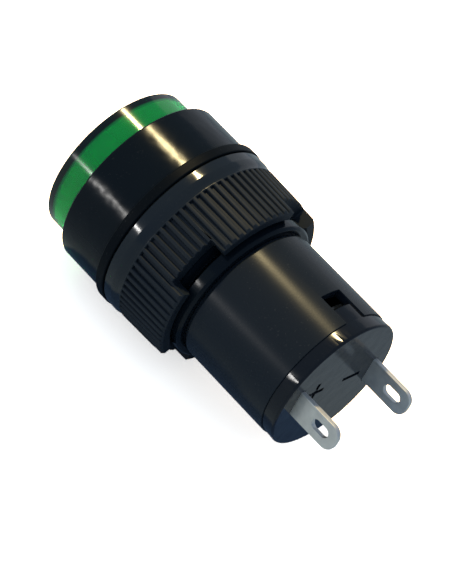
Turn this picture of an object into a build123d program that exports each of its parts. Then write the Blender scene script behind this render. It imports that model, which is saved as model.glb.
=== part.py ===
from build123d import *
import math
import os

# Round panel pilot light for a 16 mm panel hole, in millimetres.
# The lamp's axis is Y: the lens faces -Y and the terminals point to +Y.
# The origin is on the axis, in the plane where the bezel seats on the panel.
# A place round the axis is an angle from +X towards +Z.

# Clearances shared by the pieces
fit_clearance = 0.05
slot_clearance = 0.08
overrun = 1.0

# Thread of the barrel behind the bezel, as its major diameter
thread_radius = 7.95
thread_length = 9.7
thread_chamfer = 0.25
thread_wall = 1.25
spigot_depth = 4.7
holder_step = 0.5

# Bezel head and its lens pocket
head_overhang = 1.35
bezel_wall = 1.1
head_length = 5.5
head_front_chamfer = 0.15
head_rear_chamfer = 0.1
pocket_depth = 3.2
pocket_mouth_chamfer = 0.12

# Sealing gasket between the bezel and the nut
gasket_width = 1.7
gasket_thickness = 1.0

# Ring nut: smooth tapered collar, then ribs, with wrench notches at the rear
nut_length = 7.9
nut_wall = 1.6
nut_rear_chamfer = 0.25
nut_bore_chamfer = 0.3
collar_length = 2.1
collar_flat_length = 1.1
collar_taper = 0.25
collar_front_chamfer = 0.15
rib_lip = 0.15
rib_rim_length = 0.15
rib_taper = 0.15
rib_height = 0.35
rib_count = 72
rib_gap_mouth_share = 0.58
rib_gap_floor_share = 0.3
notch_count = 4
notch_angle = 33.0
first_notch_at = 32.0
notch_depth = 1.6
notch_corner_round = 0.2

# Lens
lens_proud = 3.5
lens_front_thickness = 0.9
lens_wall = 0.55
lens_front_chamfer = 0.18
lens_seal_thickness = 0.8
snap_bead_height = 0.09
snap_bead_length = 0.5
snap_bead_depth = 1.4

# Diffuser and reflector
diffuser_wall = 0.6
reflector_wall = 0.6
reflector_base_inset = 0.75
window_clearance = 0.15

# Boards and the pins that join them
board_thickness = 1.0
board_recess = 0.2
driver_board_margin = 1.5
pin_width = 0.6
pin_offset = 2.5
pin_overlap = 4.0

# Light emitters
emitter_count = 4
emitter_circle_share = 0.436
emitter_size = 1.6
emitter_base_height = 0.5
emitter_dome_height = 0.3
emitter_dome_inset = 0.2
emitter_dome_chamfer = 0.15

# Round resistors and diode on the driver board, each with two raised metal ends
metal_end_length = 0.7
metal_end_lip = 0.1
resistor_radius = 0.7
resistor_length = 3.6
resistor_offset = 2.2
resistor_place_share = 0.514
diode_radius = 1.25
diode_length = 5.0
diode_place_share = 0.78

# Capacitor under the driver board
capacitor_radius = 2.0
capacitor_length = 5.0
capacitor_place_share = 0.574
capacitor_edge_chamfer = 0.2
lead_radius = 0.25
lead_offset = 0.8
lead_run = 1.1

# Holder that grips the driver board's front end
chamber_width_share = 0.645
chamber_height_share = 0.63
chamber_round = 0.8

# Rear barrel
barrel_step = 0.6
barrel_length = 10.5
barrel_front_chamfer = 0.12
barrel_wall = 0.9
neck_depth = 0.25
neck_length = 0.3
spigot_wall = 0.8
spigot_land = 0.9
window_width = 2.5
window_length = 3.4

# End cap
cap_step = 0.05
cap_base = 1.5
cap_edge_round = 0.25
plug_length = 2.5
plug_wall = 0.65
key_length = 2.0
key_sink = 0.15
key_chamfer = 0.3

# Solder tabs
tab_width = 2.8
tab_thickness = 0.5
tab_reach = 5.2
tab_inset = 0.65
tab_corner_round = 1.1
eye_length = 2.0
eye_width = 1.1
eye_from_cap = 2.2
shoulder_width = 3.4
shoulder_length = 1.2
tail_width = 2.0
tail_length = 4.0

# Radii that several pieces share, from the outside in
head_radius = thread_radius + head_overhang
pocket_radius = head_radius - bezel_wall
lens_radius = pocket_radius - fit_clearance
gasket_bore_radius = thread_radius + fit_clearance
gasket_radius = gasket_bore_radius + gasket_width
nut_bore_radius = thread_radius + fit_clearance
collar_front_radius = nut_bore_radius + nut_wall
collar_rear_radius = collar_front_radius - collar_taper
rib_radius = collar_rear_radius + rib_lip
diffuser_radius = lens_radius - lens_wall - fit_clearance
barrel_radius = thread_radius - barrel_step
barrel_bore_radius = barrel_radius - barrel_wall
spigot_bore_radius = thread_radius - thread_wall
spigot_radius = spigot_bore_radius - fit_clearance
led_board_radius = spigot_bore_radius - fit_clearance
emitter_circle_radius = led_board_radius * emitter_circle_share
holder_bore_radius = spigot_bore_radius - holder_step
plug_radius = barrel_bore_radius - fit_clearance
plug_bore_radius = plug_radius - plug_wall
tab_offset = plug_bore_radius - tab_inset

# Stations along the axis that several pieces share, from the lens to the tabs
head_front = -head_length
lens_front = head_front - lens_proud
diffuser_front = lens_front + lens_front_thickness
pocket_floor = head_front + pocket_depth
lens_rear = pocket_floor - lens_seal_thickness
led_board_front = pocket_floor + board_recess
board_seat = led_board_front + board_thickness
spigot_front = thread_length - spigot_depth
nut_front = gasket_thickness + fit_clearance
nut_rear = nut_front + nut_length
collar_rear = nut_front + collar_length
rib_gap_front = collar_rear + rib_rim_length
barrel_front = thread_length + neck_length
barrel_rear = barrel_front + barrel_length
cap_rear = barrel_rear + cap_base
tab_tip = cap_rear + tab_reach

# Driver board, which runs from the emitters' board to the tabs
board_half = board_thickness / 2
driver_front = board_seat + fit_clearance
driver_length = barrel_rear - driver_board_margin - driver_front
driver_half_width = tab_offset - tab_thickness / 2 - fit_clearance
resistor_station = driver_front + driver_length * resistor_place_share
diode_station = driver_front + driver_length * diode_place_share
capacitor_station = driver_front + driver_length * capacitor_place_share
lead_station = capacitor_station + capacitor_length / 2 + lead_run
pin_height = board_half + fit_clearance + pin_width / 2


def turned(points, rounds=None):
    """A ring or disc turned about the lamp's axis.

    points is the closed outline, as (radius, station) pairs, and rounds gives the
    radius of the arc at a corner, by the corner's own pair.
    """
    radii = [(rounds or {}).get(point, 0) for point in points]
    outline = FilletPolyline(*points, radius=radii, close=True)
    return revolve(make_face(outline), axis=Axis.Y)


def ring(inner, outer, front, rear):
    """A plain ring between two radii and two stations."""
    return turned([(inner, front), (outer, front), (outer, rear), (inner, rear)])


def at_angle(piece, angle):
    """The piece turned round the axis, from +X towards +Z."""
    return Rot(0, -angle, 0) * piece


def sector(outer, front, rear, angle):
    """A wedge of a disc, centred on +X and as wide as the angle."""
    corners = [(0, front), (outer, front), (outer, rear), (0, rear)]
    face = make_face(Polyline(*corners, close=True))
    return at_angle(revolve(face, axis=Axis.Y, revolution_arc=-angle), -angle / 2)


def block(width, length, height, centre):
    """A box with its size along X, Y and Z and its centre."""
    return Pos(*centre) * Box(width, length, height)


def wire(*points):
    """A round lead through the points, with a mitred bend at each."""
    path = Polyline(*points)
    section = Plane(path @ 0, z_dir=path % 0) * Circle(lead_radius)
    return sweep(section, path=path, transition=Transition.RIGHT)


def rod(radius, front, rear, x=0, z=0):
    """A round rod along the axis between two stations."""
    stand = (Align.CENTER, Align.CENTER, Align.MIN)
    return Plane((x, front, z), z_dir=(0, 1, 0)) * Cylinder(radius, rear - front, align=stand)


def bead_outline(radius, height, length):
    """The corners of a snap bead on a wall, from front to rear."""
    middle = pocket_floor - snap_bead_depth
    return [
        (radius, middle - length / 2),
        (radius + height, middle - length / 4),
        (radius + height, middle + length / 4),
        (radius, middle + length / 2),
    ]


def bezel_housing():
    """Glossy head with the lens pocket, and the threaded barrel behind it."""
    groove = bead_outline(pocket_radius, snap_bead_height, snap_bead_length + 2 * fit_clearance)
    outline = [
        (pocket_radius + pocket_mouth_chamfer, head_front),
        (head_radius - head_front_chamfer, head_front),
        (head_radius, head_front + head_front_chamfer),
        (head_radius, -head_rear_chamfer),
        (head_radius - head_rear_chamfer, 0),
        (thread_radius, 0),
        (thread_radius, thread_length - thread_chamfer),
        (thread_radius - thread_chamfer, thread_length),
        (spigot_bore_radius, thread_length),
        (spigot_bore_radius, spigot_front),
        (holder_bore_radius, spigot_front),
        (holder_bore_radius, board_seat),
        (spigot_bore_radius, board_seat),
        (spigot_bore_radius, pocket_floor),
        (pocket_radius, pocket_floor),
        *reversed(groove),
        (pocket_radius, head_front + pocket_mouth_chamfer),
    ]
    return turned(outline)


def sealing_gasket():
    """Flat rubber ring that the panel or the nut presses against the bezel."""
    return ring(gasket_bore_radius, gasket_radius, 0, gasket_thickness)


def rib_gap():
    """The space between two ribs, centred on +X, open outwards and to the rear.

    In front of it stays the thin rim that joins the ribs to the collar.
    """
    pitch = 2 * math.pi * rib_radius / rib_count
    floor = rib_radius - rib_height
    mouth = pitch * rib_gap_mouth_share / 2
    bottom = pitch * rib_gap_floor_share / 2
    corners = [(floor, -bottom), (rib_radius, -mouth), (rib_radius + overrun, -mouth)]
    corners += [(x, -z) for x, z in reversed(corners)]
    profile = Plane((0, rib_gap_front, 0), x_dir=(1, 0, 0), z_dir=(0, -1, 0))
    face = profile * make_face(Polyline(*corners, close=True))
    return extrude(face, amount=-(nut_rear + overrun - rib_gap_front))


def wrench_notch():
    """A notch in the nut's rear edge, centred on +X, with rounded inner corners."""
    floor = nut_rear - notch_depth
    notch = sector(rib_radius + overrun, floor, nut_rear + overrun, notch_angle)
    corners = notch.edges().filter_by(GeomType.LINE).group_by(Axis.Y)[0]
    return fillet(corners, notch_corner_round)


def ring_nut():
    """Ring nut with a smooth collar, axial ribs and wrench notches."""
    outline = [
        (nut_bore_radius + nut_bore_chamfer, nut_front),
        (collar_front_radius - collar_front_chamfer, nut_front),
        (collar_front_radius, nut_front + collar_front_chamfer),
        (collar_front_radius, nut_front + collar_flat_length),
        (collar_rear_radius, collar_rear),
        (rib_radius, collar_rear),
        (rib_radius - rib_taper, nut_rear - nut_rear_chamfer),
        (rib_radius - rib_taper - nut_rear_chamfer, nut_rear),
        (nut_bore_radius + nut_bore_chamfer, nut_rear),
        (nut_bore_radius, nut_rear - nut_bore_chamfer),
        (nut_bore_radius, nut_front + nut_bore_chamfer),
    ]
    nut = turned(outline)
    gap = rib_gap()
    nut -= [at_angle(gap, 360 * place / rib_count) for place in range(rib_count)]
    notch = wrench_notch()
    for place in range(notch_count):
        nut -= at_angle(notch, first_notch_at + 360 * place / notch_count)
    return nut


def lens():
    """Green cap: flat front, thin wall and a snap bead that holds it in the bezel."""
    inner = lens_radius - lens_wall
    outline = [
        (0, lens_front),
        (lens_radius - lens_front_chamfer, lens_front),
        (lens_radius, lens_front + lens_front_chamfer),
        *bead_outline(lens_radius, snap_bead_height, snap_bead_length),
        (lens_radius, lens_rear),
        (inner, lens_rear),
        (inner, diffuser_front),
        (0, diffuser_front),
    ]
    return turned(outline)


def lens_seal():
    """Soft ring between the lens's rear edge and the pocket's floor."""
    return ring(lens_radius - lens_wall, lens_radius, lens_rear, pocket_floor)


def diffuser():
    """Milky cup inside the lens."""
    inner = diffuser_radius - diffuser_wall
    outline = [
        (0, diffuser_front),
        (diffuser_radius, diffuser_front),
        (diffuser_radius, pocket_floor),
        (inner, pocket_floor),
        (inner, diffuser_front + diffuser_wall),
        (0, diffuser_front + diffuser_wall),
    ]
    return turned(outline)


def reflector():
    """White cone that stands on the emitters' board and reaches the diffuser."""
    rim = diffuser_front + diffuser_wall
    rim_radius = diffuser_radius - diffuser_wall - fit_clearance
    base_radius = led_board_radius - reflector_base_inset
    outline = [
        (0, led_board_front),
        (base_radius, led_board_front),
        (rim_radius, rim),
        (rim_radius - reflector_wall, rim),
        (base_radius - reflector_wall, led_board_front - reflector_wall),
        (0, led_board_front - reflector_wall),
    ]
    cup = turned(outline)
    opening = emitter_size + 2 * window_clearance
    centre = (emitter_circle_radius, led_board_front, 0)
    hole = block(opening, 2 * reflector_wall + overrun, opening, centre)
    for place in range(emitter_count):
        cup -= at_angle(hole, 360 * place / emitter_count)
    return cup


def led_board():
    """Round board that carries the emitters, with holes for the two link pins."""
    board = rod(led_board_radius, led_board_front, board_seat)
    opening = pin_width + 2 * fit_clearance
    for x in (-pin_offset, pin_offset):
        board -= block(opening, 2 * (board_thickness + overrun), opening, (x, board_seat, pin_height))
    return board


def emitter(place):
    """One light emitter: a square base with a low block of clear resin."""
    base_front = led_board_front - emitter_base_height
    centre = (emitter_circle_radius, led_board_front - emitter_base_height / 2, 0)
    base = block(emitter_size, emitter_base_height, emitter_size, centre)
    dome_size = emitter_size - 2 * emitter_dome_inset
    centre = (emitter_circle_radius, base_front - emitter_dome_height / 2, 0)
    dome = block(dome_size, emitter_dome_height, dome_size, centre)
    dome = chamfer(dome.edges().group_by(Axis.Y)[0], emitter_dome_chamfer)
    return at_angle(base + dome, 360 * place / emitter_count)


def link_pin(side):
    """Square pin that joins the two boards."""
    length = board_thickness + pin_overlap
    centre = (side * pin_offset, led_board_front + length / 2, pin_height)
    return block(pin_width, length, pin_width, centre)


def round_part(x, station, radius, length):
    """A resistor or diode that lies on the board, with a raised metal end at each side."""
    half = length / 2
    waist = radius - metal_end_lip
    waist_half = half - metal_end_length
    outline = [
        (0, -half),
        (radius, -half),
        (radius, -waist_half),
        (waist, -waist_half),
        (waist, waist_half),
        (radius, waist_half),
        (radius, half),
        (0, half),
    ]
    return Pos(x, station, board_half + fit_clearance + radius) * turned(outline)


def capacitor():
    """Small can that lies under the driver board, with two leads up into it."""
    height = -board_half - fit_clearance - capacitor_radius
    rear = capacitor_station + capacitor_length / 2
    body = rod(capacitor_radius, rear - capacitor_length, rear, 0, height)
    can = chamfer(body.edges().filter_by(GeomType.CIRCLE), capacitor_edge_chamfer)
    for x in (-lead_offset, lead_offset):
        can += wire((x, capacitor_station, height), (x, lead_station, height), (x, lead_station, board_half))
    return can


def driver_board():
    """Board along the axis that carries the other parts, with two holes for the capacitor."""
    centre = (0, driver_front + driver_length / 2, 0)
    board = block(2 * driver_half_width, driver_length, board_thickness, centre)
    for x in (-lead_offset, lead_offset):
        hole = Cylinder(lead_radius + fit_clearance, 2 * (board_thickness + overrun))
        board -= Pos(x, lead_station, 0) * hole
    return board


def board_holder():
    """Moulded sleeve with two grooved rails that grip the driver board."""
    length = spigot_front - board_seat
    centre = (0, board_seat + length / 2, 0)
    sleeve = rod(holder_bore_radius - fit_clearance, board_seat, spigot_front)
    cut_length = length + 2 * overrun
    chamber_width = 2 * holder_bore_radius * chamber_width_share
    chamber_height = 2 * holder_bore_radius * chamber_height_share
    chamber = block(chamber_width, cut_length, chamber_height, centre)
    chamber = fillet(chamber.edges().filter_by(Axis.Y), chamber_round)
    slot_width = 2 * (driver_half_width + fit_clearance)
    slot = block(slot_width, cut_length, board_thickness + 2 * fit_clearance, centre)
    return sleeve - chamber - slot


def snap_window():
    """The opening in the barrel's wall at +Z, open at the barrel's rear."""
    height = barrel_radius + overrun
    middle = barrel_rear + (overrun - window_length) / 2
    return block(window_width, window_length + overrun, height, (0, middle, height / 2))


def rear_barrel():
    """Satin tube behind the thread, with a spigot in front and two windows behind."""
    spigot_inner = spigot_radius - spigot_wall
    outline = [
        (spigot_inner, spigot_front),
        (spigot_radius, spigot_front),
        (spigot_radius, thread_length),
        (barrel_radius - neck_depth, thread_length),
        (barrel_radius - neck_depth, barrel_front),
        (barrel_radius - barrel_front_chamfer, barrel_front),
        (barrel_radius, barrel_front + barrel_front_chamfer),
        (barrel_radius, barrel_rear),
        (barrel_bore_radius, barrel_rear),
        (barrel_bore_radius, barrel_front + spigot_land),
        (spigot_inner, barrel_front + spigot_land),
    ]
    barrel = turned(outline)
    for angle in (0, 180):
        barrel -= at_angle(snap_window(), angle)
    return barrel


def key():
    """The cap's tongue at +Z that fills the rear of a window, with a sloped front."""
    front = barrel_rear - key_length
    top = barrel_radius - key_sink
    band = turned(
        [
            (plug_bore_radius, front),
            (top - key_chamfer, front),
            (top, front + key_chamfer),
            (top, barrel_rear),
            (plug_bore_radius, barrel_rear),
        ]
    )
    width = window_width - 2 * fit_clearance
    centre = (0, barrel_rear, barrel_radius / 2)
    return band & block(width, 2 * key_length + overrun, barrel_radius, centre)


def end_cap():
    """Cap with a plug in the barrel, two keys in the windows and two tab slots."""
    plug_front = barrel_rear - plug_length
    cap_radius = barrel_radius - cap_step
    rear_edge = (cap_radius, cap_rear)
    outline = [
        (0, barrel_rear),
        (plug_bore_radius, barrel_rear),
        (plug_bore_radius, plug_front),
        (plug_radius, plug_front),
        (plug_radius, barrel_rear),
        (cap_radius, barrel_rear),
        rear_edge,
        (0, cap_rear),
    ]
    cap = turned(outline, {rear_edge: cap_edge_round})
    for angle in (0, 180):
        cap += at_angle(key(), angle)
    slot_width = tab_thickness + 2 * slot_clearance
    slot_height = tab_width + 2 * slot_clearance
    for x in (-tab_offset, tab_offset):
        cap -= block(slot_width, 2 * (cap_base + overrun), slot_height, (x, cap_rear, 0))
    return cap


def solder_tab(side):
    """Flat tab: narrow tail on the board, shoulder under the cap, eye behind it."""
    shoulder_front = barrel_rear - shoulder_length
    half = [
        (shoulder_front - tail_length, tail_width / 2),
        (shoulder_front, tail_width / 2),
        (shoulder_front, shoulder_width / 2),
        (barrel_rear, shoulder_width / 2),
        (barrel_rear, tab_width / 2),
        (tab_tip, tab_width / 2),
    ]
    corners = half + [(y, -z) for y, z in reversed(half)]
    rounds = [0] * len(corners)
    rounds[len(half) - 1] = tab_corner_round
    rounds[len(half)] = tab_corner_round
    blade = make_face(FilletPolyline(*corners, radius=rounds, close=True))
    eye_middle = cap_rear + eye_from_cap + eye_length / 2
    blade -= Pos(eye_middle, 0) * SlotOverall(eye_length, eye_width)
    inner_face = side * tab_offset - tab_thickness / 2
    plane = Plane((inner_face, 0, 0), x_dir=(0, 1, 0), z_dir=(1, 0, 0))
    return extrude(plane * blade, amount=tab_thickness)


def all_pieces():
    """Every piece, by the name of its node."""
    pieces = {
        "bezel_housing": bezel_housing(),
        "sealing_gasket": sealing_gasket(),
        "ring_nut": ring_nut(),
        "lens": lens(),
        "lens_seal": lens_seal(),
        "diffuser": diffuser(),
        "reflector": reflector(),
        "led_board": led_board(),
        "driver_board": driver_board(),
        "board_holder": board_holder(),
        "protection_diode": round_part(0, diode_station, diode_radius, diode_length),
        "capacitor": capacitor(),
        "rear_barrel": rear_barrel(),
        "end_cap": end_cap(),
        "terminal_positive": solder_tab(1),
        "terminal_negative": solder_tab(-1),
    }
    for number, side in enumerate((-1, 1), start=1):
        x = side * resistor_offset
        pieces[f"resistor_{number}"] = round_part(x, resistor_station, resistor_radius, resistor_length)
        pieces[f"link_pin_{number}"] = link_pin(side)
    for place in range(emitter_count):
        pieces[f"led_{place + 1}"] = emitter(place)
    return pieces


os.makedirs("parts", exist_ok=True)
for name, piece in all_pieces().items():
    export_step(piece, f"parts/{name}.step")
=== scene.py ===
import logging
import math
from dataclasses import dataclass, field
from enum import Enum
from typing import Callable, Iterable

import bpy
from mathutils import Matrix, Vector


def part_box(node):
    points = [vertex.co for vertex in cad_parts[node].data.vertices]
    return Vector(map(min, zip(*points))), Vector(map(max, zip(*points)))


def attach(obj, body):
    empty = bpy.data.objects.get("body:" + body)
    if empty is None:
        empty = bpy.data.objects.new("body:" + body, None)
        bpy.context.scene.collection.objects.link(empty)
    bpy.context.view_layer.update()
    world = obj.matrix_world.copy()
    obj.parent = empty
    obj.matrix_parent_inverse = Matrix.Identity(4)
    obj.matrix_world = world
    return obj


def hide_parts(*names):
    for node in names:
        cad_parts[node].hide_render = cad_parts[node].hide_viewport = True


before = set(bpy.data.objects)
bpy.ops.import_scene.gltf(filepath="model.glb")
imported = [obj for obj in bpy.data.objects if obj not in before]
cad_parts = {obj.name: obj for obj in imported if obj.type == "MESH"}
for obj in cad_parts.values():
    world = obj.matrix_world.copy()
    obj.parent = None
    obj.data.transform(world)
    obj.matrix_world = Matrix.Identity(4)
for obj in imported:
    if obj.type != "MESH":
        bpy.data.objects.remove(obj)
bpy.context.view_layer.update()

# Panel pilot light: finishes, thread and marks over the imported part, then camera, lamps and floor.
# The lamp's axis is Y, the lens faces -Y, the tabs point to +Y, and +Z is up. Sizes below are in
# millimetres and angles in degrees. MM turns millimetres into Blender's metres.

MM = 0.001
LOG = logging.getLogger("pilot_light")

LAMP_AXIS = Vector((0.0, 1.0, 0.0))
WELD = 0.002  # Points closer than this become one.
NEAR = 0.02  # How far off a ring's place its points may lie.
FLAT_ANGLE = 0.4  # Faces that meet at a smaller angle become one.
SHARP_ANGLE = 35.0  # Edges with a larger angle are rounded.
AREA_WEIGHT = 100  # At this weight, the largest face at a corner sets its shading.

Piece = bpy.types.Object
Node = bpy.types.ShaderNode
Socket = bpy.types.NodeSocket
Sockets = bpy.types.bpy_prop_collection
Tree = bpy.types.NodeTree
Triple = tuple[float, float, float]
Colour = Triple
Span = tuple[float, float]


class Body(Enum):
    """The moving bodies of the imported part."""

    LAMP = "lamp"
    NUT = "nut"


class Cut(Enum):
    """Which side of a bisecting plane is cleared."""

    FRONT = "front"
    REAR = "rear"


class Element(Enum):
    """What a selection in a mesh is made of, as Blender calls it."""

    POINT = "VERT"
    EDGE = "EDGE"


class Axis(Enum):
    """An axis of the frame, as Blender calls it."""

    X = "X"
    Y = "Y"
    Z = "Z"


# ---------------------------------------------------------------------------
# Mesh work
# ---------------------------------------------------------------------------


def activate(piece: Piece) -> None:
    """Leaves edit mode, then selects one piece alone and makes it active.

    Args:
        piece: The object to work on.
    """
    deselect_everything()
    piece.select_set(True)
    bpy.context.view_layer.objects.active = piece


def deselect_everything() -> None:
    """Leaves edit mode with nothing selected."""
    if bpy.context.object is not None and bpy.context.object.mode != "OBJECT":
        leave_edit()
    bpy.ops.object.select_all(action="DESELECT")


def leave_edit() -> None:
    """Goes back from edit mode to object mode."""
    bpy.ops.object.mode_set(mode="OBJECT")


def edit_all(piece: Piece) -> None:
    """Enters edit mode on a piece with all of it selected.

    Args:
        piece: The mesh object.
    """
    activate(piece)
    bpy.ops.object.mode_set(mode="EDIT")
    bpy.ops.mesh.select_mode(type=Element.POINT.value)
    bpy.ops.mesh.select_all(action="SELECT")


def select_where(piece: Piece, element: Element, test: Callable[[Vector], bool]) -> None:
    """Selects points or edges by their middle and enters edit mode.

    Args:
        piece: The mesh object.
        element: Points or edges.
        test: True for the middle of an element that is wanted, in metres.
    """
    activate(piece)
    bpy.ops.object.mode_set(mode="EDIT")
    bpy.ops.mesh.select_mode(type=element.value)
    bpy.ops.mesh.select_all(action="DESELECT")
    leave_edit()
    points = piece.data.vertices
    if element is Element.POINT:
        items = [(item, item.co) for item in points]
    else:
        items = [
            (item, (points[item.vertices[0]].co + points[item.vertices[1]].co) / 2)
            for item in piece.data.edges
        ]
    for item, middle in items:
        if test(middle):
            item.select = True
    bpy.ops.object.mode_set(mode="EDIT")


def away_from_axis(point: Vector) -> float:
    """The distance of a point from the lamp's axis, in millimetres."""
    return math.hypot(point.x, point.z) / MM


def scale_about_axis(share: float, station: float = 0.0) -> None:
    """Scales what is selected towards the lamp's axis, then leaves edit mode.

    Args:
        share: The new radius as a share of the old one.
        station: Where the selection lies along Y.
    """
    bpy.ops.transform.resize(
        value=(share, 1.0, share), center_override=(0.0, station * MM, 0.0)
    )
    leave_edit()


def apply_modifiers(piece: Piece) -> Piece:
    """Applies all of a piece's modifiers in order.

    Args:
        piece: The mesh object.

    Returns:
        The same object.
    """
    activate(piece)
    for modifier in list(piece.modifiers):
        bpy.ops.object.modifier_apply(modifier=modifier.name)
    return piece


def merged_copy(node: str, name: str) -> Piece:
    """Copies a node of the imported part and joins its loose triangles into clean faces.

    Args:
        node: The node's name.
        name: The name of the copy.

    Returns:
        The copy, which isn't yet riding on a body.
    """
    piece = bpy.data.objects.new(name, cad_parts[node].data.copy())
    bpy.context.scene.collection.objects.link(piece)
    piece.data.materials.clear()
    activate(piece)
    bpy.ops.mesh.customdata_custom_splitnormals_clear()
    edit_all(piece)
    bpy.ops.mesh.remove_doubles(threshold=WELD * MM)
    bpy.ops.mesh.dissolve_limited(angle_limit=math.radians(FLAT_ANGLE))
    leave_edit()
    return piece


def soften_edges(piece: Piece, width: float, segments: int = 2) -> Piece:
    """Rounds the sharp edges of a piece a little and smooths its shading.

    Args:
        piece: The mesh object.
        width: The width of the rounding. Zero leaves the edges sharp.
        segments: Faces across the rounding.

    Returns:
        The same object.
    """
    if width > 0:
        bevel = piece.modifiers.new("edge_round", "BEVEL")
        bevel.width = width * MM
        bevel.segments = segments
        bevel.limit_method = "ANGLE"
        bevel.angle_limit = math.radians(SHARP_ANGLE)
        bevel.miter_outer = "MITER_ARC"
        apply_modifiers(piece)
    activate(piece)
    bpy.ops.object.shade_smooth_by_angle(angle=math.radians(SHARP_ANGLE))
    weighted = piece.modifiers.new("even_shading", "WEIGHTED_NORMAL")
    weighted.keep_sharp = True
    weighted.weight = AREA_WEIGHT
    return apply_modifiers(piece)


def slice_at(piece: Piece, station: float, across: Vector = LAMP_AXIS) -> None:
    """Cuts a piece's faces along a plane and keeps both sides joined.

    An extra cut near an edge keeps the flat beside it from being shaded like a curve.

    Args:
        piece: The mesh object.
        station: Where the plane lies along its normal.
        across: The plane's normal.
    """
    edit_all(piece)
    bpy.ops.mesh.bisect(plane_co=across * (station * MM), plane_no=across)
    leave_edit()


def draw_in(piece: Piece, station: float, radius: float, amount: float) -> None:
    """Makes one ring of a turned piece a little smaller.

    Args:
        piece: The mesh object.
        station: Where the ring lies along Y.
        radius: The ring's radius.
        amount: How much smaller it becomes.
    """

    def on_ring(point: Vector) -> bool:
        """Tells whether a point lies on the ring."""
        at_station = abs(point.y - station * MM) < NEAR * MM
        return at_station and abs(away_from_axis(point) - radius) < NEAR

    select_where(piece, Element.POINT, on_ring)
    scale_about_axis(1.0 - amount / radius, station)


# ---------------------------------------------------------------------------
# Node trees and shader groups
# ---------------------------------------------------------------------------

FLOAT, VECTOR, COLOUR = "NodeSocketFloat", "NodeSocketVector", "NodeSocketColor"
MIX_FLOATS = (2, 3)  # The Mix node's inputs for two values.
MIX_COLOURS = (6, 7)  # Its inputs for two colours.
MIXED_COLOUR = 2  # Its output for colours.

ACROSS_AXIS = (1.0, 0.0, 1.0)  # Keeps what lies across the lamp's axis.
FINE_GRAIN = 6000.0  # The scale of a fine mould's grain.

# The scale and detail of each noise, and the range of its values that counts.
GRAIN_DETAIL = 2.0
WAVES = (650.0, 1.0)
PATCHES, PATCH_SPAN = (260.0, 4.0), (0.3, 0.7)
SPECKS, SPECK_SPAN = (5200.0, 1.0), (0.66, 0.74)
CLOUDS, CLOUD_SPAN = (420.0, 3.0), (0.4, 0.75)
DRIFT_DETAIL, DRIFT_SPAN = 3.0, (0.32, 0.68)


@dataclass(frozen=True)
class Wiring:
    """A node tree with short ways to add nodes. A given value is a socket, a number or a tuple."""

    tree: Tree

    def feed(self, socket: Socket, given: object) -> None:
        """Connects an input to a socket, or sets it to a plain value.

        Args:
            socket: The input.
            given: What it gets.
        """
        if isinstance(given, bpy.types.NodeSocket):
            self.tree.links.new(given, socket)
        elif socket.type == "RGBA":
            socket.default_value = (*given[:3], 1.0)
        else:
            socket.default_value = given

    def add(self, kind: str, inputs: dict, **settings: object) -> Node:
        """Adds a node.

        Args:
            kind: The node's type without its prefix, such as Math.
            inputs: The given value of each input, by name or number.
            **settings: The node's own settings.

        Returns:
            The node.
        """
        node = self.tree.nodes.new(f"ShaderNode{kind}")
        for name, value in settings.items():
            setattr(node, name, value)
        for label, given in inputs.items():
            self.feed(node.inputs[label], given)
        return node

    def noise(self, vector: Socket, scale: object, detail: float) -> Socket:
        """Adds a noise texture and returns its value."""
        inputs = {"Vector": vector, "Scale": scale, "Detail": detail}
        return self.add("TexNoise", inputs).outputs["Fac"]

    def bands(self, vector: Socket, axis: Axis, scale: float) -> Socket:
        """Adds straight bands that follow each other along an axis and returns their value."""
        inputs = {"Vector": vector, "Scale": scale}
        return self.add("TexWave", inputs, bands_direction=axis.value).outputs["Fac"]

    def remap(self, value: Socket, source: tuple, target: tuple = (0.0, 1.0)) -> Socket:
        """Maps a range of a value onto another range, clamped.

        Args:
            value: The value.
            source: The start and the end of the range that is read.
            target: What they become.

        Returns:
            The mapped value.
        """
        labels = ("Value", "From Min", "From Max", "To Min", "To Max")
        node = self.add("MapRange", dict(zip(labels, (value, *source, *target))))
        return node.outputs["Result"]

    def blend(self, factor: Socket, first: object, second: object) -> Socket:
        """Mixes two colours: a factor of 0 gives the first one and 1 the second."""
        inputs = {"Factor": factor, MIX_COLOURS[0]: first, MIX_COLOURS[1]: second}
        return self.add("Mix", inputs, data_type="RGBA").outputs[MIXED_COLOUR]

    def calculate(self, operation: str, *given: object) -> Socket:
        """Works out a sum of one or two values."""
        return self.add("Math", dict(enumerate(given)), operation=operation).outputs[0]

    def along_axis(self, place: Socket) -> Socket:
        """Gives how far a place lies along the lamp's axis."""
        return self.add("SeparateXYZ", {0: place}).outputs["Y"]

    def seen_rays(self) -> Socket:
        """Gives 1 for rays from the camera and through glass, and 0 for others."""
        rays = self.add("LightPath", {}).outputs
        return self.calculate("MAXIMUM", rays["Is Camera Ray"], rays["Is Transmission Ray"])


def new_group(
    name: str, inputs: dict[str, str], outputs: dict[str, str]
) -> tuple[Wiring, Sockets, Sockets]:
    """Starts a shader node group with named sockets.

    Args:
        name: The group's name.
        inputs: The socket type of each input, by its name.
        outputs: The same for the outputs.

    Returns:
        The group's wiring, the sockets that come in and the sockets that go out.
    """
    tree = bpy.data.node_groups.new(name, "ShaderNodeTree")
    for side, sockets in (("INPUT", inputs), ("OUTPUT", outputs)):
        for label, kind in sockets.items():
            tree.interface.new_socket(label, in_out=side, socket_type=kind)
    given = tree.nodes.new("NodeGroupInput").outputs
    return Wiring(tree), given, tree.nodes.new("NodeGroupOutput").inputs


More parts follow.
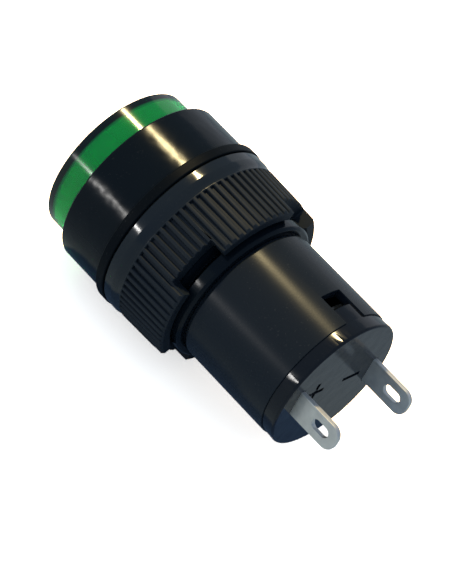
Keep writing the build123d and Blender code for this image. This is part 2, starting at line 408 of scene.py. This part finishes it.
def mould_skin_group() -> Tree:
    """Builds a moulded skin: grain or slow waves, and patches that shine more or less.

    Returns:
        A group with the inputs Vector, Grain Scale, Wave Share, Roughness Low and Roughness High,
        and the outputs Height and Roughness.
    """
    inputs = dict.fromkeys(("Grain Scale", "Wave Share", "Roughness Low", "Roughness High"), FLOAT)
    outputs = {"Height": FLOAT, "Roughness": FLOAT}
    wiring, given, out = new_group("mould_skin", {"Vector": VECTOR, **inputs}, outputs)
    grain = wiring.noise(given["Vector"], given["Grain Scale"], GRAIN_DETAIL)
    waves = wiring.noise(given["Vector"], *WAVES)
    mixed = {"Factor": given["Wave Share"], MIX_FLOATS[0]: grain, MIX_FLOATS[1]: waves}
    wiring.feed(out["Height"], wiring.add("Mix", mixed).outputs[0])
    patches = wiring.noise(given["Vector"], *PATCHES)
    shine = (given["Roughness Low"], given["Roughness High"])
    wiring.feed(out["Roughness"], wiring.remap(patches, PATCH_SPAN, shine))
    return wiring.tree


def dust_group() -> Tree:
    """Builds fine dust and handling marks that lie unevenly over a surface.

    Returns:
        A group with the inputs Vector, Amount, Clean and Dusty, and the output Color.
    """
    inputs = {"Vector": VECTOR, "Amount": FLOAT, "Clean": COLOUR, "Dusty": COLOUR}
    wiring, given, out = new_group("fine_dust", inputs, {"Color": COLOUR})
    specks = wiring.remap(wiring.noise(given["Vector"], *SPECKS), SPECK_SPAN)
    clouds = wiring.remap(wiring.noise(given["Vector"], *CLOUDS), CLOUD_SPAN)
    both = wiring.calculate("MULTIPLY", specks, clouds)
    share = wiring.calculate("MULTIPLY", both, given["Amount"])
    wiring.feed(out["Color"], wiring.blend(share, given["Clean"], given["Dusty"]))
    return wiring.tree


def drift_group() -> Tree:
    """Builds a slow drift between two colours over a surface.

    Returns:
        A group with the inputs Vector, Scale, First and Second, and the output Color.
    """
    inputs = {"Vector": VECTOR, "Scale": FLOAT, "First": COLOUR, "Second": COLOUR}
    wiring, given, out = new_group("colour_drift", inputs, {"Color": COLOUR})
    drift = wiring.noise(given["Vector"], given["Scale"], DRIFT_DETAIL)
    mask = wiring.remap(drift, DRIFT_SPAN)
    wiring.feed(out["Color"], wiring.blend(mask, given["First"], given["Second"]))
    return wiring.tree


@dataclass
class ShaderLibrary:
    """The shader groups that the finishes share."""

    mould_skin: Tree = field(default_factory=mould_skin_group)
    dust: Tree = field(default_factory=dust_group)
    drift: Tree = field(default_factory=drift_group)


# ---------------------------------------------------------------------------
# Finishes
# ---------------------------------------------------------------------------


@dataclass(frozen=True)
class Skin:
    """A surface's fine structure.

    The depth is what a full height stands out, the strength how much of it shows, and the wave
    share how far slow waves take the place of the grain.
    """

    grain_scale: float
    roughness: Span
    depth: float
    strength: float
    wave_share: float = 0.0


@dataclass(frozen=True)
class Bench(Wiring):
    """A material in the making: its tree, Principled BSDF and object coordinates."""

    shader: Node
    place: Socket
    library: ShaderLibrary

    def give(self, label: str, given: object) -> None:
        """Feeds an input of the Principled BSDF."""
        self.feed(self.shader.inputs[label], given)

    def add_group(self, group: Tree, vector: Socket, values: dict) -> Node:
        """Places a shader group with its own values.

        Args:
            group: The group.
            vector: The coordinates for it.
            values: The value of each other input, by its name.

        Returns:
            The group's node.
        """
        node = self.tree.nodes.new("ShaderNodeGroup")
        node.node_tree = group
        for label, value in {"Vector": vector, **values}.items():
            self.feed(node.inputs[label], value)
        return node

    def lay(self, skin: Skin, vector: Socket | None = None, height: Socket | None = None) -> Socket:
        """Gives the surface a skin.

        Args:
            skin: The skin.
            vector: The coordinates for it, if they aren't the object's own.
            height: What stands out of the surface, if it isn't the skin's own height.

        Returns:
            The skin's roughness.
        """
        values = {
            "Grain Scale": skin.grain_scale,
            "Wave Share": skin.wave_share,
            "Roughness Low": skin.roughness[0],
            "Roughness High": skin.roughness[1],
        }
        laid = self.add_group(self.library.mould_skin, vector or self.place, values).outputs
        self.give("Roughness", laid["Roughness"])
        inputs = {
            "Height": height or laid["Height"],
            "Distance": skin.depth * MM,
            "Strength": skin.strength,
        }
        self.give("Normal", self.add("Bump", inputs).outputs["Normal"])
        return laid["Roughness"]

    def drift(self, scale: float, first: Colour, second: Colour) -> None:
        """Colours the surface with a slow drift between two colours.

        Args:
            scale: How close together its patches lie.
            first: The one colour.
            second: The other colour.
        """
        values = {"Scale": scale, "First": first, "Second": second}
        drifting = self.add_group(self.library.drift, self.place, values)
        self.give("Base Color", drifting.outputs["Color"])


@dataclass(frozen=True)
class Finish:
    """What every finish has: its slot in the record and its way to make a material."""

    slot: str

    def make(self, library: ShaderLibrary) -> bpy.types.Material:
        """Builds the material.

        Args:
            library: The shared shader groups.

        Returns:
            The material.
        """
        material = bpy.data.materials.new(self.slot)
        material.use_nodes = True
        tree = material.node_tree
        place = tree.nodes.new("ShaderNodeTexCoord").outputs["Object"]
        self.paint(Bench(tree, tree.nodes["Principled BSDF"], place, library))
        return material

    def paint(self, bench: Bench) -> None:
        """Connects the nodes that each kind of finish has."""
        raise NotImplementedError


@dataclass(frozen=True)
class MouldedPlastic(Finish):
    """Moulded plastic or rubber with a skin and a little dust, duller behind a station along Y."""

    colour: Colour
    skin: Skin
    specular: float = 0.5
    dust: float = 0.25
    dust_colour: Colour = (0.2, 0.19, 0.17)
    satin_from: float = 0.0
    satin_extra: float = 0.0
    satin_blend: float = 0.05

    def paint(self, bench: Bench) -> None:
        """Lays the skin and the dust, then adds the satin part's roughness.

        Args:
            bench: The material in the making.
        """
        values = {"Amount": self.dust, "Clean": self.colour, "Dusty": self.dust_colour}
        dusty = bench.add_group(bench.library.dust, bench.place, values)
        bench.give("Base Color", dusty.outputs["Color"])
        bench.give("Specular IOR Level", self.specular)
        roughness = bench.lay(self.skin)
        if self.satin_extra:
            start = (self.satin_from - self.satin_blend) * MM
            end = (self.satin_from + self.satin_blend) * MM
            along = bench.along_axis(bench.place)
            satin = bench.remap(along, (start, end), (0.0, self.satin_extra))
            bench.give("Roughness", bench.calculate("ADD", roughness, satin))


@dataclass(frozen=True)
class LensPlastic(Finish):
    """Polished translucent plastic: light shows through its wall and face, and its rim is painted
    near black as painted shade.
    """

    wall: Colour
    painted_shade_rim: Colour
    face: Colour
    rim_ends: float
    wall_starts: float
    face_radius: float
    face_blend: float = 0.2
    transmission: float = 0.6
    ior: float = 1.49
    skin: Skin = Skin(grain_scale=900.0, roughness=(0.09, 0.13), depth=0.004, strength=0.2)

    def paint(self, bench: Bench) -> None:
        """Colours the face, the rim round it with painted shade, and the wall behind, and lets light
        through.

        Args:
            bench: The material in the making.
        """
        span = (self.rim_ends * MM, self.wall_starts * MM)
        behind = bench.remap(bench.along_axis(bench.place), span)
        inputs = {0: bench.place, 1: ACROSS_AXIS}
        across = bench.add("VectorMath", inputs, operation="MULTIPLY").outputs[0]
        reach = bench.add("VectorMath", {0: across}, operation="LENGTH").outputs["Value"]
        span = ((self.face_radius - self.face_blend) * MM, self.face_radius * MM)
        # The outer ring of the front gets the near-black rim colour, which is painted shade.
        front = bench.blend(bench.remap(reach, span), self.face, self.painted_shade_rim)
        bench.give("Base Color", bench.blend(behind, front, self.wall))
        bench.lay(self.skin)
        bench.give("Transmission Weight", self.transmission)
        bench.give("IOR", self.ior)


@dataclass(frozen=True)
class MilkyPlastic(Finish):
    """Milky plastic or resin."""

    colour: Colour
    shade: Colour
    drift_scale: float = 200.0
    skin: Skin = Skin(grain_scale=4000.0, roughness=(0.35, 0.5), depth=0.003, strength=0.3)

    def paint(self, bench: Bench) -> None:
        """Lets the colour drift a little under the skin."""
        bench.drift(self.drift_scale, self.colour, self.shade)
        bench.lay(self.skin)


@dataclass(frozen=True)
class TinnedMetal(Finish):
    """Stamped and tinned brass: bright, with fine drawing marks along it and duller patches."""

    bright: Colour
    dull: Colour
    skin: Skin
    drift_scale: float = 900.0
    mark_stretch: Triple = (1.0, 0.12, 1.0)

    def paint(self, bench: Bench) -> None:
        """Lets the colour drift and stretches the skin into marks.

        Args:
            bench: The material in the making.
        """
        bench.drift(self.drift_scale, self.bright, self.dull)
        stretched = bench.add("Mapping", {"Vector": bench.place, "Scale": self.mark_stretch})
        bench.lay(self.skin, vector=stretched.outputs[0])
        bench.give("Metallic", 1.0)


@dataclass(frozen=True)
class BoardCoat(Finish):
    """Circuit board: green coat over copper traces, with tinned pads."""

    coat: Colour
    trace: Colour
    pad: Colour
    trace_scale: float = 180.0
    trace_span: Span = (0.62, 0.68)
    pad_scale: float = 420.0
    pad_span: Span = (0.24, 0.2)
    skin: Skin = Skin(grain_scale=3000.0, roughness=(0.25, 0.4), depth=0.02, strength=0.4)

    def paint(self, bench: Bench) -> None:
        """Draws the traces, which stand out of the surface, and the pads.

        Args:
            bench: The material in the making.
        """
        traces = bench.remap(bench.bands(bench.place, Axis.X, self.trace_scale), self.trace_span)
        coat = bench.blend(traces, self.coat, self.trace)
        spots = bench.add("TexVoronoi", {"Vector": bench.place, "Scale": self.pad_scale})
        pads = bench.remap(spots.outputs["Distance"], self.pad_span)
        bench.give("Base Color", bench.blend(pads, coat, self.pad))
        bench.lay(self.skin, height=traces)


@dataclass(frozen=True)
class BandedBody(Finish):
    """Round component along Y: a lacquered body with rings of colour and metal ends."""

    body: Colour
    band: Colour
    metal: Colour
    middle: float
    metal_from: float
    band_scale: float
    metal_blend: float = 0.01
    band_span: Span = (0.7, 0.78)
    skin: Skin = Skin(grain_scale=5000.0, roughness=(0.22, 0.36), depth=0.004, strength=0.3)

    def paint(self, bench: Bench) -> None:
        """Draws the rings and the ends, both counted from the body's middle.

        Args:
            bench: The material in the making.
        """
        shift = (0.0, -self.middle * MM, 0.0)
        centred = bench.add("Mapping", {"Vector": bench.place, "Location": shift}).outputs[0]
        apart = bench.calculate("ABSOLUTE", bench.along_axis(centred))
        start = (self.metal_from - self.metal_blend) * MM
        end = (self.metal_from + self.metal_blend) * MM
        ends = bench.remap(apart, (start, end))
        rings = bench.remap(bench.bands(centred, Axis.Y, self.band_scale), self.band_span)
        body = bench.blend(rings, self.body, self.band)
        bench.give("Base Color", bench.blend(ends, body, self.metal))
        bench.give("Metallic", ends)
        bench.lay(self.skin)


def grained(low: float, high: float, scale: float = FINE_GRAIN) -> Skin:
    """The skin of plastic with a fine grain, between two roughnesses."""
    return Skin(scale, roughness=(low, high), depth=0.004, strength=0.5)


def smooth(low: float, high: float) -> Skin:
    """The skin of polished plastic, whose slow waves make highlights waver."""
    return Skin(FINE_GRAIN, roughness=(low, high), depth=0.07, strength=0.5, wave_share=0.97)


FINISHES = (
    MouldedPlastic(
        "bezel_gloss",
        colour=(0.0055, 0.0095, 0.0135),
        skin=smooth(0.15, 0.18),
        specular=0.14,
        dust=0.12,
    ),
    MouldedPlastic(
        "nut_satin",
        colour=(0.0145, 0.0205, 0.0265),
        skin=smooth(0.1, 0.14),
        specular=0.3,
        dust=0.12,
        satin_from=3.2,
        satin_extra=0.46,
    ),
    MouldedPlastic(
        "barrel_satin", colour=(0.02, 0.0255, 0.032), skin=grained(0.24, 0.29), specular=0.13
    ),
    MouldedPlastic(
        "cap_gloss",
        colour=(0.009, 0.0115, 0.016),
        skin=smooth(0.14, 0.18),
        specular=0.26,
        dust=0.12,
    ),
    MouldedPlastic(
        "black_rubber",
        colour=(0.006, 0.0085, 0.011),
        skin=grained(0.35, 0.45, scale=2500.0),
        specular=0.04,
    ),
    MouldedPlastic(
        "holder_white",
        colour=(0.74, 0.73, 0.68),
        skin=grained(0.4, 0.5),
        dust_colour=(0.5, 0.48, 0.42),
    ),
    LensPlastic(
        "green_lens",
        wall=(0.0, 0.52, 0.11),
        # Painted shade: the outer ring of the lens's front is coloured near black for the dark band
        # it shows.
        painted_shade_rim=(0.0, 0.012, 0.006),
        face=(0.0, 0.6, 0.18),
        rim_ends=-8.25,
        wall_starts=-8.05,
        face_radius=7.9,
    ),
    MilkyPlastic("milky_diffuser", colour=(0.82, 0.86, 0.8), shade=(0.74, 0.79, 0.72)),
    MilkyPlastic("white_reflector", colour=(0.86, 0.86, 0.84), shade=(0.8, 0.8, 0.78)),
    MilkyPlastic("clear_resin", colour=(0.86, 0.88, 0.78), shade=(0.8, 0.82, 0.7)),
    TinnedMetal(
        "tinned_brass",
        bright=(0.92, 0.88, 0.8),
        dull=(0.8, 0.76, 0.69),
        skin=Skin(grain_scale=5000.0, roughness=(0.5, 0.58), depth=0.006, strength=0.35),
    ),
    BoardCoat(
        "circuit_board", coat=(0.02, 0.12, 0.05), trace=(0.05, 0.22, 0.1), pad=(0.7, 0.68, 0.62)
    ),
    BandedBody(
        "resistor_body",
        body=(0.6, 0.42, 0.25),
        band=(0.12, 0.05, 0.03),
        metal=(0.7, 0.69, 0.66),
        middle=9.26,
        metal_from=1.1,
        band_scale=300.0,
    ),
    BandedBody(
        "diode_body",
        body=(0.02, 0.02, 0.02),
        band=(0.5, 0.5, 0.5),
        metal=(0.7, 0.69, 0.66),
        middle=14.59,
        metal_from=1.8,
        band_scale=120.0,
    ),
    BandedBody(
        "capacitor_can",
        body=(0.03, 0.05, 0.12),
        band=(0.5, 0.52, 0.56),
        metal=(0.6, 0.6, 0.6),
        middle=10.46,
        metal_from=2.4,
        band_scale=90.0,
    ),
)


@dataclass
class FinishShelf:
    """All the finishes of the lamp, made once and handed out by slot."""

    library: ShaderLibrary
    made: dict[str, bpy.types.Material] = field(default_factory=dict)

    def fill(self, finishes: Iterable[Finish]) -> None:
        """Makes every finish.

        Args:
            finishes: The finishes, one for each slot.
        """
        for finish in finishes:
            self.made[finish.slot] = finish.make(self.library)
            LOG.info("finish %s", finish.slot)

    def dress(self, piece: Piece, slot: str, body: Body, *nodes: str) -> None:
        """Gives a piece its finish and lets it ride on its body.

        Args:
            piece: The object.
            slot: The record's slot of its finish.
            body: The body that carries it.
            *nodes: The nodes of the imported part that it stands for.
        """
        piece.data.materials.clear()
        piece.data.materials.append(self.made[slot])
        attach(piece, body.value)
        if nodes:
            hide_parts(*nodes)
        LOG.info("piece %s: %d faces", piece.name, len(piece.data.polygons))


# ---------------------------------------------------------------------------
# The lamp's sub-assemblies
# ---------------------------------------------------------------------------


@dataclass
class ThreadedHousing:
    """Bezel head with the barrel behind it, the thread wound round that barrel, and the gasket."""

    shelf: FinishShelf
    crest_radius: float = 7.95
    root_radius: float = 7.36
    core_radius: float = 7.3
    pitch: float = 1.0
    crest_share: float = 0.16
    root_share: float = 0.14
    first_station: float = 0.5
    last_station: float = 8.2
    run_out: float = 0.25
    steps: int = 96
    spare_turns: int = 2
    thread_weld: float = 0.001
    end_overlap: float = 0.1
    edge_round: float = 0.06
    gasket_round: float = 0.12
    gasket_segments: int = 3

    def build(self) -> None:
        """Builds the housing, the thread and the gasket."""
        self.build_housing()
        self.build_thread()
        gasket = merged_copy("sealing_gasket", "gasket_ring")
        soften_edges(gasket, self.gasket_round, self.gasket_segments)
        self.shelf.dress(gasket, "black_rubber", Body.LAMP, "sealing_gasket")

    def build_housing(self) -> None:
        """Copies the housing and turns its plain thread cylinder down to the core."""
        housing = merged_copy("bezel_housing", "bezel_and_barrel")
        for station in (self.last_station, self.last_station + self.run_out):
            slice_at(housing, station)
        thread_end = (self.last_station + self.run_out / 2) * MM

        def on_thread(point: Vector) -> bool:
            """Tells whether a point lies on the plain thread cylinder."""
            along = -NEAR * MM < point.y < thread_end
            return along and abs(away_from_axis(point) - self.crest_radius) < 2 * NEAR

        select_where(housing, Element.POINT, on_thread)
        scale_about_axis(self.core_radius / self.crest_radius)
        soften_edges(housing, self.edge_round)
        self.shelf.dress(housing, "bezel_gloss", Body.LAMP, "bezel_housing")

    def build_thread(self) -> None:
        """Winds one turn's profile into the thread and closes both of its ends."""
        thread = self.draw_profile()
        winding = thread.modifiers.new("winding", "SCREW")
        winding.axis = Axis.Y.value
        winding.screw_offset = self.pitch * MM
        turns = math.ceil((self.last_station - self.first_station) / self.pitch)
        winding.iterations = turns + self.spare_turns
        winding.steps = self.steps
        winding.render_steps = self.steps
        winding.use_merge_vertices = True
        winding.merge_threshold = self.thread_weld * MM
        apply_modifiers(thread)
        self.trim(thread, self.first_station, Cut.FRONT)
        self.trim(thread, self.last_station, Cut.REAR)
        edit_all(thread)
        bpy.ops.mesh.remove_doubles(threshold=self.thread_weld * MM)
        bpy.ops.mesh.normals_make_consistent(inside=False)
        leave_edit()
        soften_edges(thread, 0.0)
        self.shelf.dress(thread, "bezel_gloss", Body.LAMP)

    def draw_profile(self) -> Piece:
        """Draws one turn of the thread's outline: two flanks, the crest and the root.

        Returns:
            The outline, one pitch in front of the thread's first station.
        """
        depth = self.crest_radius - self.root_radius
        station = (self.first_station - self.pitch) * MM
        middle = ((self.root_radius + depth / 2) * MM, station, 0.0)
        flank_span = self.pitch * (1.0 - self.root_share)
        deselect_everything()
        bpy.ops.mesh.primitive_plane_add(size=1.0, location=middle)
        thread = bpy.context.object
        thread.name = "barrel_thread"
        bpy.ops.object.transform_apply(location=True, rotation=False, scale=False)
        edit_all(thread)
        bpy.ops.transform.resize(
            value=(depth * MM, flank_span * MM, 1.0), center_override=middle
        )
        select_where(thread, Element.POINT, lambda point: point.x > middle[0])
        bpy.ops.transform.resize(
            value=(1.0, self.crest_share / flank_span, 1.0), center_override=middle
        )
        # Only the inner edge has its middle this far in. It goes, and the root is drawn instead.
        inner = middle[0] - depth * MM / 3
        select_where(thread, Element.EDGE, lambda point: point.x < inner)
        bpy.ops.mesh.delete(type="EDGE")
        select_where(
            thread, Element.POINT, lambda point: point.x < middle[0] and point.y > middle[1]
        )
        root = self.pitch * self.root_share * MM
        bpy.ops.mesh.extrude_region_move(TRANSFORM_OT_translate={"value": (0.0, root, 0.0)})
        leave_edit()
        return thread

    def trim(self, thread: Piece, station: float, side: Cut) -> None:
        """Cuts the thread square at a station and draws its open edge down into the core.

        Args:
            thread: The wound thread.
            station: Where along Y it ends.
            side: The side that goes.
        """
        edit_all(thread)
        bpy.ops.mesh.bisect(
            plane_co=(0.0, station * MM, 0.0),
            plane_no=LAMP_AXIS,
            clear_inner=side is Cut.FRONT,
            clear_outer=side is Cut.REAR,
        )
        leave_edit()
        select_where(
            thread, Element.EDGE, lambda point: abs(point.y - station * MM) < WELD * MM
        )
        bpy.ops.mesh.extrude_region()
        scale_about_axis((self.core_radius - self.end_overlap) / self.crest_radius, station)


@dataclass
class RingNut:
    """Ring nut with a crisp collar, rounded ribs and wrench notches."""

    shelf: FinishShelf
    edge_round: float = 0.05
    crown_end: float = 2.05
    rib_front: float = 3.25
    rib_foot_radius: float = 9.3
    rib_round: float = 0.1
    rib_segments: int = 3
    rib_sharp_angle: float = 60.0

    def build(self) -> None:
        """Builds the nut."""
        nut = merged_copy("ring_nut", "ribbed_ring_nut")
        slice_at(nut, self.crown_end)
        self.round_ribs(nut)
        soften_edges(nut, self.edge_round)
        self.shelf.dress(nut, "nut_satin", Body.NUT, "ring_nut")

    def round_ribs(self, nut: Piece) -> None:
        """Rounds the long edges of the ribs, with the rest of the nut hidden meanwhile.

        Args:
            nut: The merged nut.
        """

        def on_rib(point: Vector) -> bool:
            """Tells whether a point lies on a rib."""
            return point.y > self.rib_front * MM and away_from_axis(point) > self.rib_foot_radius

        select_where(nut, Element.POINT, on_rib)
        bpy.ops.mesh.hide(unselected=True)
        bpy.ops.mesh.select_all(action="DESELECT")
        bpy.ops.mesh.select_mode(type=Element.EDGE.value)
        bpy.ops.mesh.edges_select_sharp(sharpness=math.radians(self.rib_sharp_angle))
        bpy.ops.mesh.bevel(
            offset=self.rib_round * MM, segments=self.rib_segments, affect="EDGES"
        )
        bpy.ops.mesh.reveal(select=False)
        leave_edit()


@dataclass
class PlainPieces:
    """Pieces that only need softer edges and a finish.

    Each is a node, the name of its copy, its slot and the width of its rounded edges.
    """

    shelf: FinishShelf
    pieces: tuple[tuple[str, str, str, float], ...] = ()

    def build(self) -> None:
        """Builds the pieces."""
        for node, name, slot, width in self.pieces:
            piece = soften_edges(merged_copy(node, name), width)
            self.shelf.dress(piece, slot, Body.LAMP, node)


@dataclass
class LensStack(PlainPieces):
    """Green lens with the soft seal, milky diffuser and white reflector behind it."""

    pieces: tuple[tuple[str, str, str, float], ...] = (
        ("lens", "green_lens_cap", "green_lens", 0.04),
        ("lens_seal", "lens_seal_ring", "black_rubber", 0.08),
        ("diffuser", "diffuser_cup", "milky_diffuser", 0.1),
        ("reflector", "reflector_cone", "white_reflector", 0.05),
    )


@dataclass
class Electronics(PlainPieces):
    """Both boards with all that they carry. Each copy is named after its node."""

    pieces: tuple[tuple[str, str, str, float], ...] = tuple(
        (node, f"{node}_part", slot, width)
        for node, slot, width in (
            ("led_board", "circuit_board", 0.03),
            ("driver_board", "circuit_board", 0.03),
            ("board_holder", "holder_white", 0.08),
            ("link_pin_1", "tinned_brass", 0.04),
            ("link_pin_2", "tinned_brass", 0.04),
            ("resistor_1", "resistor_body", 0.05),
            ("resistor_2", "resistor_body", 0.05),
            ("protection_diode", "diode_body", 0.06),
            ("capacitor", "capacitor_can", 0.06),
            ("led_1", "clear_resin", 0.04),
            ("led_2", "clear_resin", 0.04),
            ("led_3", "clear_resin", 0.04),
            ("led_4", "clear_resin", 0.04),
        )
    )


@dataclass
class RearEnd:
    """Rear barrel, end cap with its polarity marks, and the two tabs."""

    shelf: FinishShelf
    barrel_round: float = 0.06
    cap_round: float = 0.04
    tab_round: float = 0.06
    mark_depth: float = 0.14
    stroke_length: float = 2.4
    stroke_width: float = 0.45
    mark_height: float = 0.3
    plus_place: float = 2.9
    minus_place: float = -2.2
    rim_front: float = 20.5
    rim_radius: float = 7.3
    rim_drop: float = 0.08
    rim_end: float = 21.65

    def build(self) -> None:
        """Builds the barrel, the cap and the tabs."""
        barrel = soften_edges(merged_copy("rear_barrel", "barrel_shell"), self.barrel_round)
        self.shelf.dress(barrel, "barrel_satin", Body.LAMP, "rear_barrel")
        self.build_cap()
        tabs = (("terminal_positive", "tab_positive"), ("terminal_negative", "tab_negative"))
        for node, name in tabs:
            tab = merged_copy(node, name)
            slice_at(tab, 0.0, Vector((0.0, 0.0, 1.0)))
            soften_edges(tab, self.tab_round)
            self.shelf.dress(tab, "tinned_brass", Body.LAMP, node)

    def build_cap(self) -> None:
        """Copies the cap, draws its rim in where it meets the barrel and sinks both signs."""
        cap = merged_copy("end_cap", "cap_shell")
        draw_in(cap, self.rim_front, self.rim_radius, self.rim_drop)
        slice_at(cap, self.rim_end)
        self.engrave(cap, self.plus_place, (Axis.X, Axis.Z))
        self.engrave(cap, self.minus_place, (Axis.X,))
        soften_edges(cap, self.cap_round)
        self.shelf.dress(cap, "cap_gloss", Body.LAMP, "end_cap")

    def engrave(self, cap: Piece, place: float, strokes: tuple[Axis, ...]) -> None:
        """Sinks a polarity sign into the cap's rear face.

        Args:
            cap: The cap.
            place: The sign's middle along X.
            strokes: The axis, X or Z, that each stroke runs along.
        """
        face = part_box("end_cap")[1][1]
        sides = (self.stroke_length * MM, self.stroke_width * MM)
        for axis in strokes:
            deselect_everything()
            middle = (place * MM, face, self.mark_height * MM)
            bpy.ops.mesh.primitive_cube_add(size=1.0, location=middle)
            cutter = bpy.context.object
            wide, high = sides if axis is Axis.X else reversed(sides)
            cutter.scale = (wide, 2 * self.mark_depth * MM, high)
            bpy.ops.object.transform_apply(location=True, rotation=False, scale=True)
            sunk = cap.modifiers.new("sunk_stroke", "BOOLEAN")
            sunk.object = cutter
            sunk.operation = "DIFFERENCE"
            sunk.solver = "EXACT"
            apply_modifiers(cap)
            bpy.data.objects.remove(cutter)


# ---------------------------------------------------------------------------
# Studio
# ---------------------------------------------------------------------------


@dataclass(frozen=True)
class Lamp:
    """A square soft lamp, with its direction from the aim and its power in watts."""

    name: str
    towards: Triple
    distance: float
    size: float
    power: float
    colour: Colour

    def hang(self, aim: Vector) -> None:
        """Hangs the lamp.

        Args:
            aim: The place that it looks at.
        """
        light = bpy.data.lights.new(self.name, "AREA")
        light.shape = "SQUARE"
        light.size = self.size * MM
        light.energy = self.power
        light.color = self.colour
        lamp = bpy.data.objects.new(self.name, light)
        bpy.context.scene.collection.objects.link(lamp)
        towards = Vector(self.towards).normalized()
        lamp.location = (aim + towards * self.distance) * MM
        lamp.rotation_euler = towards.to_track_quat("Z", "Y").to_euler()


@dataclass
class Studio:
    """Floor, world, lamps and camera."""

    aim: Triple = (0.0, 9.0, 0.0)
    floor_height: float = -9.7
    floor_size: float = 4000.0
    floor_colour: Colour = (0.54, 0.67, 0.82)
    floor_roughness: float = 0.9
    seen_floor_colour: Colour = (5.5, 4.1, 2.9)
    seen_floor_glow: float = 0.55
    surround: Colour = (0.17, 0.25, 0.38)
    seen_surround: Colour = (1.0, 1.0, 1.0)
    glossy_share: float = 0.05
    camera_place: Triple = (162.036, 90.273, 142.127)
    camera_up: Triple = (-0.26712, -0.67302, 0.68971)
    camera_back: Triple = (0.69989, 0.35649, 0.61893)
    camera_lens: float = 157.72
    camera_sensor: float = 36.0
    camera_clip: float = 10.0
    lamps: tuple[Lamp, ...] = (
        Lamp(
            "key_lamp",
            towards=(-0.076, -0.407, 0.911),
            distance=600.0,
            size=42.0,
            power=1.87,
            colour=(1.0, 0.81, 0.43),
        ),
        Lamp(
            "side_lamp",
            towards=(0.909, -0.407, 0.093),
            distance=600.0,
            size=18.0,
            power=0.23,
            colour=(1.0, 0.98, 0.95),
        ),
        Lamp(
            "far_panel",
            towards=(-0.97, -0.2, 0.14),
            distance=700.0,
            size=700.0,
            power=0.6,
            colour=(1.0, 0.94, 0.86),
        ),
    )

    def build(self) -> None:
        """Builds the studio."""
        self.build_floor()
        self.build_world()
        for lamp in self.lamps:
            lamp.hang(Vector(self.aim))
        self.build_camera()
        bpy.context.scene.view_settings.view_transform = "Standard"

    def build_floor(self) -> None:
        """Lays the pale floor: white where the camera sees it lit, with the soft shadow kept."""
        deselect_everything()
        height = self.floor_height * MM
        bpy.ops.mesh.primitive_plane_add(size=self.floor_size * MM, location=(0.0, 0.0, height))
        floor = bpy.context.object
        floor.name = "studio_floor"
        bpy.ops.object.transform_apply(location=True, rotation=False, scale=False)
        material = bpy.data.materials.new("pale_floor")
        material.use_nodes = True
        material.cycles.emission_sampling = "NONE"
        wiring = Wiring(material.node_tree)
        shader = wiring.tree.nodes["Principled BSDF"]
        wiring.feed(shader.inputs["Base Color"], self.floor_colour)
        wiring.feed(shader.inputs["Roughness"], self.floor_roughness)
        wiring.feed(shader.inputs["Specular IOR Level"], 0.0)
        lit = wiring.add("BsdfDiffuse", {"Color": self.seen_floor_colour})
        glow = wiring.add("Emission", {"Strength": self.seen_floor_glow})
        seen = wiring.add("AddShader", {0: lit.outputs[0], 1: glow.outputs[0]})
        shaders = {0: wiring.seen_rays(), 1: shader.outputs[0], 2: seen.outputs[0]}
        mixed = wiring.add("MixShader", shaders)
        surface = wiring.tree.nodes["Material Output"].inputs["Surface"]
        wiring.feed(surface, mixed.outputs[0])
        floor.data.materials.append(material)

    def build_world(self) -> None:
        """Surrounds the scene with plain soft light that the camera sees as white."""
        world = bpy.data.worlds.new("studio_world")
        bpy.context.scene.world = world
        world.use_nodes = True
        wiring = Wiring(world.node_tree)
        rays = wiring.add("LightPath", {}).outputs
        glossy = wiring.calculate("MULTIPLY", rays["Is Glossy Ray"], self.glossy_share)
        direct = wiring.calculate("MAXIMUM", wiring.seen_rays(), glossy)
        background = wiring.tree.nodes["Background"]
        wiring.feed(background.inputs["Strength"], 1.0)
        colour = wiring.blend(direct, self.surround, self.seen_surround)
        wiring.feed(background.inputs["Color"], colour)

    def build_camera(self) -> None:
        """Sets the camera where the photograph was taken."""
        data = bpy.data.cameras.new("photo_camera")
        data.sensor_width = self.camera_sensor
        data.lens = self.camera_lens
        data.clip_start = self.camera_clip * MM
        camera = bpy.data.objects.new("photo_camera", data)
        bpy.context.scene.collection.objects.link(camera)
        back = Vector(self.camera_back).normalized()
        right = Vector(self.camera_up).cross(back).normalized()
        turn = Matrix((right, back.cross(right), back)).transposed()
        camera.matrix_world = Matrix.Translation(Vector(self.camera_place) * MM) @ turn.to_4x4()
        bpy.context.scene.camera = camera


def main() -> None:
    """Builds and dresses the lamp, then sets up the studio round it."""
    logging.basicConfig(level=logging.INFO, format="%(name)s: %(message)s")
    shelf = FinishShelf(ShaderLibrary())
    shelf.fill(FINISHES)
    for assembly in (ThreadedHousing, RingNut, LensStack, Electronics, RearEnd):
        assembly(shelf).build()
        LOG.info("built %s", assembly.__name__)
    Studio().build()


if __name__ == "__main__":
    main()
